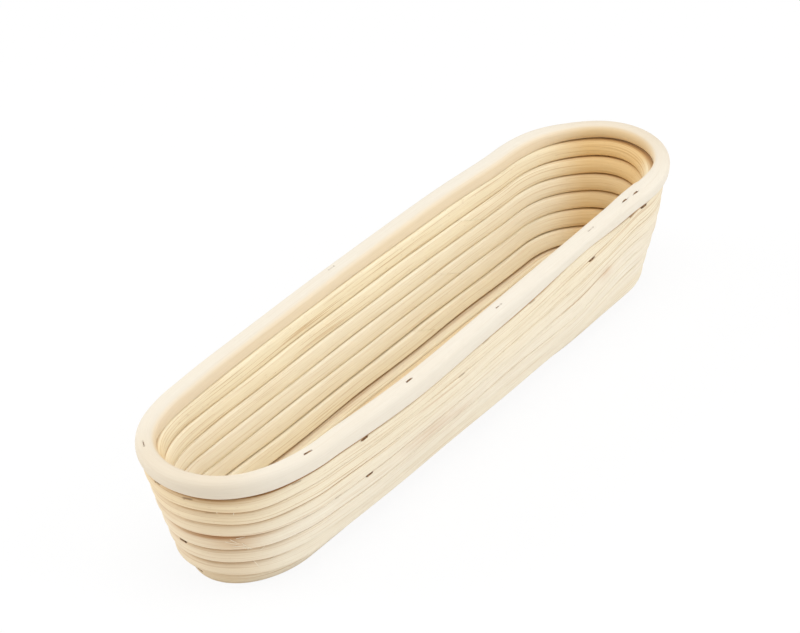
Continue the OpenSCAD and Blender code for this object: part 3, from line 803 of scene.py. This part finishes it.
class Nodes:
    """A short way to write a material's nodes."""

    def __init__(self, name):
        self.material = bpy.data.materials.new(name)
        self.material.use_nodes = True
        self.tree = self.material.node_tree
        self.tree.nodes.clear()

    def add(self, kind, settings=None, **inputs):
        """Adds a node, sets its settings, and links or sets its inputs by name."""
        node = self.tree.nodes.new(kind)
        for key, value in (settings or {}).items():
            setattr(node, key, value)
        for key, value in inputs.items():
            self.put(node.inputs[key.replace("_", " ")], value)
        return node

    def put(self, socket, value):
        """Links a socket to another, or sets it to a value."""
        if isinstance(value, bpy.types.NodeSocket):
            self.tree.links.new(value, socket)
        else:
            socket.default_value = value

    def math(self, operation, a, b):
        """A sum, product or other simple operation of two values."""
        node = self.add("ShaderNodeMath", {"operation": operation})
        self.put(node.inputs[0], a)
        self.put(node.inputs[1], b)
        return node.outputs[0]

    def times(self, a, b):
        """A product of two values."""
        return self.math("MULTIPLY", a, b)

    def mix(self, factor, a, b, blend="MIX"):
        """A mix of two colours."""
        node = self.add("ShaderNodeMix", {"data_type": "RGBA", "blend_type": blend})
        for i, value in ((0, factor), (6, a), (7, b)):
            self.put(node.inputs[i], value)
        return node.outputs[2]

    def attribute(self, name):
        """A value that the mesh carries at its points."""
        return self.add("ShaderNodeAttribute", {"attribute_name": name}).outputs["Fac"]

    def span(self, value, low, high, to_low=0.0, to_high=1.0):
        """A smooth step from one value to another while the input goes from low to high."""
        node = self.add("ShaderNodeMapRange", {"interpolation_type": "SMOOTHSTEP"})
        for i, number in enumerate([value, low, high, to_low, to_high]):
            self.put(node.inputs[i], number)
        return node.outputs[0]

    def finished(self, base, rough, bump, **inputs):
        """The material, with a colour, a roughness, a bump and other inputs of its surface."""
        shader = self.add("ShaderNodeBsdfPrincipled", Base_Color=base, Roughness=rough,
                          Normal=bump.outputs[0], **inputs)
        self.add("ShaderNodeOutputMaterial", Surface=shader.outputs[0])
        return self.material


def solid(value):
    """A colour with full cover."""
    return (*value, 1.0)


def cane_finish(name, faces, colours, streaks, grain):
    """Cane: long fibres stretched along the strand, thin brown lines, pores, slow changes of tone,
    smudges, brown creases that are partly painted shade, painted shade under each turn's overhang,
    darker copies of the colours round the ends as painted shade, painted shade in the slots under the
    staples, and a fine bump of fibres."""
    outside, inside, outside_bent, inside_bent = (solid(face) for face in faces)
    streak, brown = solid(colours.streak), solid(colours.crease)
    n = Nodes(name)
    strand = n.add("ShaderNodeUVMap", {"uv_map": "strand"}).outputs[0]
    parts = n.add("ShaderNodeSeparateXYZ", Vector=strand)

    def fibres(per_along, per_round, detail):
        """A noise with its own number of cells in a metre along the strand and round it."""
        place = n.add("ShaderNodeCombineXYZ", X=n.times(parts.outputs[0], per_along),
                      Y=n.times(parts.outputs[1], per_round))
        return n.add("ShaderNodeTexNoise", Vector=place.outputs[0], Scale=1.0, Detail=detail).outputs[0]

    fine = fibres(per_along=45.0, per_round=2100.0, detail=3.0)
    hair = fibres(per_along=11.0, per_round=1100.0, detail=1.0)
    broad = fibres(per_along=12.0, per_round=560.0, detail=2.0)
    slow = fibres(per_along=9.0, per_round=40.0, detail=2.0)
    pores = fibres(per_along=260.0, per_round=2400.0, detail=1.0)
    # Each span gives the values of a field between which a mark sets in, and how strong it is at both
    bend = n.span(n.attribute("bend"), 0.0, 0.8)
    tone = n.span(n.math("ADD", n.attribute("tone"), n.times(slow, 0.8)), 0.0, 1.4)
    striped = n.times(n.span(tone, 0.0, 1.0, 0.45, 1.0), streaks)
    broad_lines = n.times(n.span(broad, 0.55, 0.72), n.times(striped, 0.35))
    hair_lines = n.times(n.span(hair, 0.58, 0.68), striped)
    open_pores = n.times(n.span(pores, 0.68, 0.78), n.times(striped, 0.8))
    smudge = n.times(n.attribute("smudge"), n.span(broad, 0.3, 0.6, 0.3, 1.0))
    shade = n.times(n.attribute("shade"), n.span(broad, 0.25, 0.7, 0.4, 0.8))
    crease = n.times(n.attribute("crease"), n.span(broad, 0.25, 0.65, 0.3, 0.9))
    slot = n.span(n.attribute("slot_shade"), 0.15, 0.8, 0.0, 0.9)
    # Round the ends each face turns to its darker copy: painted shade
    base = n.mix(n.attribute("inside"), n.mix(bend, outside, outside_bent), n.mix(bend, inside, inside_bent))
    base = n.mix(n.times(tone, 0.5), base, streak, "SOFT_LIGHT")
    base = n.mix(broad_lines, base, streak)
    base = n.mix(hair_lines, base, streak)
    base = n.mix(open_pores, base, brown)
    base = n.mix(n.span(fine, 0.3, 0.7, 0.0, grain), base, streak, "MULTIPLY")
    base = n.mix(smudge, base, solid(colours.blush))
    # Painted shade under each turn's overhang
    base = n.mix(shade, base, solid(colours.shade), "MULTIPLY")
    # Brown creases: partly the joints' own brown, partly painted shade
    base = n.mix(crease, base, brown)
    # Painted shade in the slots and leg holes, in the oxide's colour
    base = n.mix(slot, base, solid(colours.rust_and_slot_shade))
    bump = n.add("ShaderNodeBump", Strength=0.35, Distance=0.0004, Height=n.math("ADD", fine, broad))
    return n.finished(base, n.span(fine, 0.3, 0.7, 0.52, 0.74), bump, Specular_IOR_Level=0.3)


def steel_finish(colours):
    """Staple wire: dull steel with patches of dark oxide and a fine drawn grain."""
    n = Nodes("staple_wire")
    place = n.add("ShaderNodeTexCoord").outputs["Object"]
    patches = n.add("ShaderNodeTexNoise", Vector=place, Scale=420.0, Detail=3.0).outputs[0]
    drawn = n.add("ShaderNodeTexNoise", Vector=place, Scale=3000.0, Detail=2.0).outputs[0]
    base = n.mix(n.span(patches, 0.35, 0.6), solid(colours.steel), solid(colours.rust_and_slot_shade))
    bump = n.add("ShaderNodeBump", Strength=0.3, Distance=0.0001, Height=drawn)
    return n.finished(base, n.span(patches, 0.3, 0.7, 0.4, 0.65), bump, Metallic=0.15)


def material(name):
    """A finish by name, made when a piece first needs it."""
    found = bpy.data.materials.get(name)
    if found:
        return found
    c = bpy.context.scene.basket_colours
    if name == "staple_wire":
        return steel_finish(c)
    faces = {"rim_finish": (c.rim, c.rim_inside, c.rim_bent, c.rim_inside_bent),
             "wall_finish": (c.outside, c.inside, c.outside_bent, c.inside_bent),
             "base_finish": (c.base, c.base, c.base, c.base)}
    return cane_finish(name, faces[name], c, *STREAKS[name])


class BASKET_OT_base_canes(bpy.types.Operator):
    """Lays the two core canes and the loop round them"""
    bl_idname = "basket.base_canes"
    bl_label = "Base canes"

    def execute(self, context):
        w = Winding(context.scene.basket_winding)
        s = w.sizes
        finish = material("base_finish")
        for name, side in (("core_front", -1), ("core_back", 1)):
            put_cane(name + "_cane", core_surface(w, side), finish, CORE_LOT + side, name)
        clear = s.lap_gap * np.hypot(1, s.lap_length / s.cane_depth) / w.turn_length
        joint = (w.base_tip_at - s.lap_length / 2) / w.turn_length
        surface = loop_surface(w, joint + clear / 2 - 1, joint - clear / 2)
        put_cane("base_loop", surface, finish, LOOP_LOT, "base_cane")
        return {"FINISHED"}


class BASKET_OT_wall_canes(bpy.types.Operator):
    """Winds the four wall canes up to the rim"""
    bl_idname = "basket.wall_canes"
    bl_label = "Wall canes"

    def execute(self, context):
        w = Winding(context.scene.basket_winding)
        k, s = context.scene.basket_staples, w.sizes
        clear = s.splice_gap * np.hypot(1, s.splice_length / s.cane_height) / w.turn_length
        rows = wall_rows(w, k)
        foot = foot_places(w, k)
        seats = [wall_seats(w, k, t) for t in rows.values()] + [foot_seats(w, k, foot)]
        origins, axes = (np.concatenate(part) for part in zip(*seats))
        shown = np.concatenate([clearness(k, name, len(t)) for name, t in (*rows.items(), ("foot", foot))])
        slots = SimpleNamespace(sizes=k, origins=origins, axes=axes, shown=shown, middle=WALL_SLOT_DARK,
                                width=k.slot_width)
        fine_at = np.concatenate([*rows.values(), foot % 1.0])

        def splice(i):
            """Place in turns of the splice at the end of a wall cane."""
            at = w.back_at + w.half - s.splice_x - i * s.splice_shift
            return i * w.turns // s.wall_canes + at / w.turn_length

        def share_where_climbed(f):
            """Share of a turn at which it has climbed a share of a level."""
            return w.climb_share + (1 - w.climb_share) * unsmooth(f)

        first_start = share_where_climbed((s.shaved_tip + s.turn_gap) / w.pitch) - 1
        last_stop = w.turns - 1 + share_where_climbed((s.cane_height - s.shaved_tip) / w.pitch)
        for i in range(1, s.wall_canes + 1):
            first, last = i == 1, i == s.wall_canes
            start = first_start if first else splice(i - 1) + clear / 2
            stop = last_stop if last else splice(i) - clear / 2
            surface = cane_surface(w, start, stop, 0 if first else w.slant, 0 if last else w.slant, fine_at)
            put_cane("wall_winding_%d" % i, surface, material("wall_finish"), i, "wall_cane_%d" % i,
                     slots)
        return {"FINISHED"}


class BASKET_OT_rim(bpy.types.Operator):
    """Lays the rim with its lapped ends"""
    bl_idname = "basket.rim"
    bl_label = "Rim"

    def execute(self, context):
        w = Winding(context.scene.basket_winding)
        k, s = context.scene.basket_staples, w.sizes
        clear = s.lap_gap * np.hypot(1, s.lap_length / s.rim_depth) / w.turn_length
        joint = (w.tip_at - s.lap_length / 2) / w.turn_length
        lap = lap_places(w, k)
        places = np.concatenate([RIM_MARKS, lap])
        origins, axes = rim_seats(w, places)
        shown = np.concatenate([clearness(k, "rim", len(RIM_MARKS)), clearness(k, "lap", len(lap))])
        slots = SimpleNamespace(sizes=k, origins=origins, axes=axes, shown=shown, middle=RIM_SLOT_DARK,
                                width=RIM_SLOT_WIDER * k.slot_width)
        fine_at = np.concatenate([places % 1.0 - 1, places % 1.0])
        surface = rim_surface(w, joint + clear / 2 - 1, joint - clear / 2, fine_at)
        put_cane("rim", surface, material("rim_finish"), RIM_LOT, "rim_cane", slots)
        return {"FINISHED"}


class BASKET_OT_fibres(bpy.types.Operator):
    """Frays a few fibres out of the canes at the near end"""
    bl_idname = "basket.fibres"
    bl_label = "Loose fibres"

    def execute(self, context):
        w = Winding(context.scene.basket_winding)
        t, height, along, up, out = np.array(FIBRES).T
        seat = w.seat(t)
        tubes = fibre_tubes(w.on_outside(seat, height), seat, along * MM, up * MM, out * MM)
        put_mesh("loose_fibres", tubes, material("wall_finish"), None, CANE_SHARP)
        return {"FINISHED"}


def fibre_tubes(start, seat, along, up, out):
    """Fibres as tapered tubes: start + s (along, up) + (2 s - s^2) out, with s from a little below
    0, inside the cane, to 1, and a round section whose radius falls to a tip."""
    s = np.linspace(FIBRE_ROOT, 1, FIBRE_RINGS)
    tangent = np.stack([-seat.out_y, seat.out_x, 0 * seat.out_x], -1)
    normal = np.stack([seat.out_x, seat.out_y, 0 * seat.out_x], -1)
    run = tangent * along[:, None] + np.array([0, 0, 1]) * up[:, None]
    lift = normal * out[:, None]
    line = start[:, None] + s[:, None] * run[:, None] + (2 * s - s * s)[:, None] * lift[:, None]
    ahead = run / np.linalg.norm(run, axis=1)[:, None]
    aside = np.cross(normal, ahead)
    a = 2 * np.pi * np.arange(FIBRE_SIDES) / FIBRE_SIDES
    radius = FIBRE_RADIUS * MM * (1 - FIBRE_TAPER * ramp(s, 0, 1) ** 2)
    ring = np.cos(a)[:, None] * normal[:, None] + np.sin(a)[:, None] * aside[:, None]
    return line[:, :, None] + radius[:, None, None] * ring[:, None]


def staple_row(k, origin, axes, leg):
    """Staples as one array: a flat wire's rectangle, slightly rounded, carried along leg, shoulder,
    crown, shoulder and leg, then moved to each place by its axes."""
    half = (k.crown - k.wire) / 2
    bend = SHOULDER_RADIUS * k.wire
    a = np.radians(SHOULDER_ANGLES)
    corner_x = half - bend + bend * np.cos(a)
    corner_z = -k.wire / 2 - bend + bend * np.sin(a)
    x = np.concatenate([[half], corner_x[::-1], -corner_x, [-half]])
    z = np.concatenate([[-leg], corner_z[::-1], corner_z, [-leg]])
    normal_x = np.concatenate([[1], np.cos(a)[::-1], -np.cos(a), [-1]])
    normal_z = np.concatenate([[0], np.sin(a)[::-1], np.sin(a), [0]])
    wide, thick = WIRE_SECTION[:, 0] * k.wire_width, WIRE_SECTION[:, 1] * k.wire
    local = np.stack([x[:, None] + normal_x[:, None] * thick, np.broadcast_to(wide, (len(x), len(wide))),
                      z[:, None] + normal_z[:, None] * thick], -1)
    return origin[:, None, None] + np.einsum("rpk,skj->srpj", local, axes)


def driven(point, out_x, out_y, lean):
    """Place and axes of staples with the top of their crown at a point: crown along the path, legs
    leaned by lean from straight down towards straight in."""
    zero = np.zeros_like(out_x)
    along = np.stack([-out_y, out_x, zero], -1)
    normal = np.stack([out_x, out_y, zero], -1)
    up = np.stack([zero, zero, zero + 1], -1)
    lean = np.broadcast_to(lean, out_x.shape)[:, None]
    legs_up = up * np.cos(lean) + normal * np.sin(lean)
    side = normal * np.cos(lean) - up * np.sin(lean)
    return point, np.stack([along, -side, legs_up], 1)


def wall_seats(w, k, t):
    """Staples high on the outside of the winding at t turns, in the crease on the sides and a little
    below it round the ends."""
    seat = w.seat(t)
    height = k.height - k.lower_at_bends * seat.bend
    return driven(w.on_outside(seat, height), seat.out_x, seat.out_y, k.lean)


def foot_seats(w, k, place):
    """Staples driven level into the outside of the lowest turn, below its middle, or into the wedge
    that lies under the first climb."""
    place = place % 1.0
    z = w.base_z - k.foot_drop
    t = np.where(z < w.crease(place - 1, w.level(place - 1) + 0.5), place - 1, place)
    seat = w.seat(t)
    height = np.clip((z - seat.z) / seat.tall, -FOOT_STAPLE_REACH, FOOT_STAPLE_REACH)
    return driven(w.on_outside(seat, height), seat.out_x, seat.out_y, np.pi / 2)


def base_seats(w, k, place):
    """Staples driven level into the outside of the base loop."""
    plan = w.plan(place % 1.0, w.base_end, w.base_side, 0.0)
    out = w.sizes.cane_depth / 2 - k.sunk + k.below
    return driven(outward(plan, out, w.base_z), *plan[2:], np.pi / 2)


def rim_seats(w, place):
    """Staples driven down through the top of the rim, leaned with the wall."""
    plan = w.plan_at(place % 1.0, np.full(len(place), float(w.turns)))
    lean = w.lean(w.turns - 1.0, float(w.turns), *plan[2:])
    radius = w.sizes.rim_depth / 2
    square = half_width(np.sin(lean), w.sizes.rim_side_power)
    side = 1 - smooth(plan[2] ** 2, 0, RIM_SIDE_BEND)
    height = np.cos(lean) + side * (square - np.cos(lean))
    z = w.rim_top(place % 1.0) - (1 - height) * radius
    return driven(outward(plan, np.sin(lean) * radius, z), *plan[2:], lean)


def clearness(k, name, staples):
    """How clearly each staple of a row shows, from 0 to 1: as listed, or by a seeded draw."""
    listed_rows = {"front": FRONT_CLEAR[1:], "near_end": NEAR_CLEAR[1:], "rim": [RIM_CLEAR],
                   "lap": [LAP_CLEAR]}
    if name in listed_rows:
        return np.concatenate(listed_rows[name])
    draws = np.random.default_rng([k.seed, list(FAINT).index(name)])
    drawn = FAINT[name] * draws.uniform(FAINTEST, 1.0, staples)
    if name == "foot":
        drawn[:len(FRONT_CLEAR[0])] = FRONT_CLEAR[0]
        drawn[-len(NEAR_CLEAR[0]):] = NEAR_CLEAR[0]
    return drawn


def by_hand(level, i):
    """A staple's place in its stretch, odd turns between even ones and a little off."""
    middle = EVEN_AT if level % 2 == 0 else ODD_AT
    return middle + HAND_OFF * np.sin(np.radians(HAND_TURN * level + HAND_STEP * i))


def spread(w, level, start, stop, staples):
    """Places spread over a stretch of a turn, as shares of the turn."""
    i = np.arange(staples)
    return (start + (stop - start) * (i + by_hand(level, i)) / staples) / w.turn_length


def listed(w, marks, level, start, stop):
    """Places listed for a turn as shares of a stretch, as shares of the turn."""
    return (start + (stop - start) * np.array(marks[level % len(marks)])) / w.turn_length


def wall_rows(w, k):
    """Places in turns of the wall's staples on each side of the basket."""
    rows = {"front": lambda v: listed(w, FRONT_MARKS, v, w.front_at, w.front_end),
            "back": lambda v: spread(w, v, w.back_at, w.near_at, k.side_count),
            "near_end": lambda v: listed(w, NEAR_MARKS, v, w.near_at, w.front_at),
            "far_end": lambda v: spread(w, v, w.far_at, w.back_at, k.end_count)}
    return {name: np.concatenate([v + places(v) % 1.0 for v in range(1, w.turns)])
            for name, places in rows.items()}


def foot_places(w, k):
    """Places of the staples in the lowest turn, as shares of the turn."""
    return np.concatenate([listed(w, FRONT_MARKS, 0, w.front_at, w.front_end),
                           spread(w, 0, w.back_at, w.near_at, k.foot_count),
                           spread(w, 0, w.far_at, w.back_at, k.end_count),
                           listed(w, NEAR_MARKS, 0, w.near_at, w.front_at)])


def lap_places(w, k):
    """Places of the two staples that hold the rim's lap."""
    return (w.tip_at - k.lap_at - np.arange(len(LAP_CLEAR)) * k.lap_step) / w.turn_length


class BASKET_OT_staples(bpy.types.Operator):
    """Drives the staples of the base, the wall and the rim"""
    bl_idname = "basket.staples"
    bl_label = "Staples"

    def execute(self, context):
        w = Winding(context.scene.basket_winding)
        k, s = context.scene.basket_staples, w.sizes
        wall_leg = s.cane_height + s.turn_gap + k.bite
        rim_leg = s.rim_depth + s.turn_gap + k.bite
        foot_leg = s.cane_depth + s.turn_gap + k.bite

        def put_row(name, node, seats, leg, shown):
            """Puts a row of staples, the less visible ones deeper."""
            origin, axes = seats
            crown_top = origin - axes[:, 2] * (k.below + k.deeper * (1 - shown))[:, None]
            put_mesh(name + "_wires", staple_row(k, crown_top, axes, leg), material("staple_wire"),
                     node + "_staples", WIRE_SHARP)

        for name, t in wall_rows(w, k).items():
            put_row(name, name, wall_seats(w, k, t), wall_leg, clearness(k, name, len(t)))
        base = np.concatenate([spread(w, 0, w.front_at, w.climb_at, k.side_count),
                               spread(w, 0, w.back_at, w.near_at, k.side_count)])
        put_row("base", "base", base_seats(w, k, base), foot_leg, np.ones(len(base)))
        foot = foot_places(w, k)
        put_row("foot", "foot", foot_seats(w, k, foot), foot_leg, clearness(k, "foot", len(foot)))
        for name, node, places in (("rim", "rim", np.array(RIM_MARKS)), ("lap", "scarf", lap_places(w, k))):
            put_row(name, node, rim_seats(w, places), rim_leg, clearness(k, name, len(places)))
        return {"FINISHED"}


def facing(back):
    """Axes of a lamp or camera that looks against a direction, with its right side level."""
    back = np.array(back) / np.linalg.norm(back)
    right = np.cross((0, 0, 1), back)
    right /= np.linalg.norm(right)
    return np.stack([right, np.cross(back, right), back], 1)


def placed(piece, place, axes):
    """Links a lamp or camera into the scene at a place, turned by its axes."""
    bpy.context.scene.collection.objects.link(piece)
    piece.matrix_world = Matrix.Translation(list(place)) @ Matrix(axes.tolist()).to_4x4()


class BASKET_OT_stage(bpy.types.Operator):
    """Sets the pale floor, the soft lamps and the camera"""
    bl_idname = "basket.stage"
    bl_label = "Stage"

    def execute(self, context):
        v = context.scene.basket_stage
        context.scene.view_settings.view_transform = "Standard"
        self.put_floor(v)
        self.put_light(v)
        self.put_camera(v)
        return {"FINISHED"}

    def put_floor(self, v):
        """A wide pale floor, white to the camera apart from the basket's shadow."""
        n = Nodes("pale_floor")
        path = n.add("ShaderNodeLightPath")
        seen = n.math("MAXIMUM", path.outputs["Is Camera Ray"], path.outputs["Is Glossy Ray"])
        seen = n.math("MAXIMUM", seen, path.outputs["Is Transmission Ray"])
        plain = n.add("ShaderNodeBsdfDiffuse", Color=solid([FLOOR_GREY] * 3))
        white = n.add("ShaderNodeEmission", Color=(1.0, 1.0, 1.0, 1.0), Strength=1.0)
        both = n.add("ShaderNodeMixShader")
        mixed = (n.times(seen, v.floor_white), plain.outputs[0], white.outputs[0])
        for socket, value in zip(both.inputs, mixed):
            n.put(socket, value)
        n.add("ShaderNodeOutputMaterial", Surface=both.outputs[0])
        mesh = bpy.data.meshes.new("floor")
        corners = [(x * FLOOR_REACH, y * FLOOR_REACH, -FLOOR_BELOW * MM)
                   for x, y in ((-1, -1), (1, -1), (1, 1), (-1, 1))]
        mesh.from_pydata(corners, [], [(0, 1, 2, 3)])
        mesh.materials.append(n.material)
        floor = bpy.data.objects.new("floor", mesh)
        bpy.context.scene.collection.objects.link(floor)

    def put_light(self, v):
        """Even light from all round, white behind the basket, and soft lamps that face it."""
        world = bpy.data.worlds.new("studio")
        bpy.context.scene.world = world
        world.use_nodes = True
        tree = world.node_tree
        tree.nodes.clear()
        path = tree.nodes.new("ShaderNodeLightPath")
        mixed = tree.nodes.new("ShaderNodeMixShader")
        tree.links.new(path.outputs["Is Camera Ray"], mixed.inputs[0])
        for i, strength in ((1, v.sky), (2, 1.0)):
            light = tree.nodes.new("ShaderNodeBackground")
            light.inputs[0].default_value = (1.0, 1.0, 1.0, 1.0)
            light.inputs[1].default_value = strength
            tree.links.new(light.outputs[0], mixed.inputs[i])
        tree.links.new(mixed.outputs[0], tree.nodes.new("ShaderNodeOutputWorld").inputs[0])
        for name, place, size, watts in LAMPS:
            lamp = bpy.data.lights.new(name, "AREA")
            lamp.size = size
            lamp.energy = watts
            placed(bpy.data.objects.new(name, lamp), place, facing(place))

    def put_camera(self, v):
        """A long lens from the left, above the near end."""
        back = np.array([np.sin(v.azimuth) * np.cos(v.elevation), -np.cos(v.azimuth) * np.cos(v.elevation),
                         np.sin(v.elevation)])
        level = facing(back)
        right = np.cos(v.roll) * level[:, 0] + np.sin(v.roll) * level[:, 1]
        up = np.cos(v.roll) * level[:, 1] - np.sin(v.roll) * level[:, 0]
        lens = bpy.data.cameras.new("camera")
        lens.sensor_width = v.sensor
        lens.lens = v.focal_pixels * v.sensor / v.image_width
        lens.clip_start, lens.clip_end = VIEW_FROM, VIEW_TO
        camera = bpy.data.objects.new("camera", lens)
        eye = v.shift_right * right + v.shift_up * up + v.distance * back
        placed(camera, eye.tolist(), np.stack([right, up, back], 1))
        bpy.context.scene.camera = camera


class BASKET_PT_panel(bpy.types.Panel):
    """The basket's pieces and sizes"""
    bl_idname = "BASKET_PT_panel"
    bl_label = "Proofing basket"
    bl_space_type = "VIEW_3D"
    bl_region_type = "UI"
    bl_category = "Basket"

    def draw(self, context):
        for operator in OPERATORS:
            self.layout.operator(operator.bl_idname)
        for name in GROUPS:
            group = getattr(context.scene, name)
            box = self.layout.box()
            for prop in group.__annotations__:
                box.prop(group, prop)


OPERATORS = (BASKET_OT_stage, BASKET_OT_base_canes, BASKET_OT_wall_canes, BASKET_OT_rim, BASKET_OT_fibres,
             BASKET_OT_staples)
GROUPS = {"basket_winding": WindingSizes, "basket_staples": StapleSizes, "basket_colours": FinishColours,
          "basket_stage": StageSizes}
CLASSES = (*GROUPS.values(), *OPERATORS, BASKET_PT_panel)


def register():
    """Registers the sizes, the operators and the panel."""
    for cls in CLASSES:
        bpy.utils.register_class(cls)
    for name, group in GROUPS.items():
        setattr(bpy.types.Scene, name, PointerProperty(type=group))


def unregister():
    """Takes away what register has added."""
    for name in GROUPS:
        delattr(bpy.types.Scene, name)
    for cls in reversed(CLASSES):
        bpy.utils.unregister_class(cls)


def main():
    """Builds the stage and the basket."""
    register()
    bpy.ops.basket.stage()
    bpy.ops.basket.base_canes()
    bpy.ops.basket.wall_canes()
    bpy.ops.basket.rim()
    bpy.ops.basket.fibres()
    bpy.ops.basket.staples()


if __name__ == "__main__":
    main()
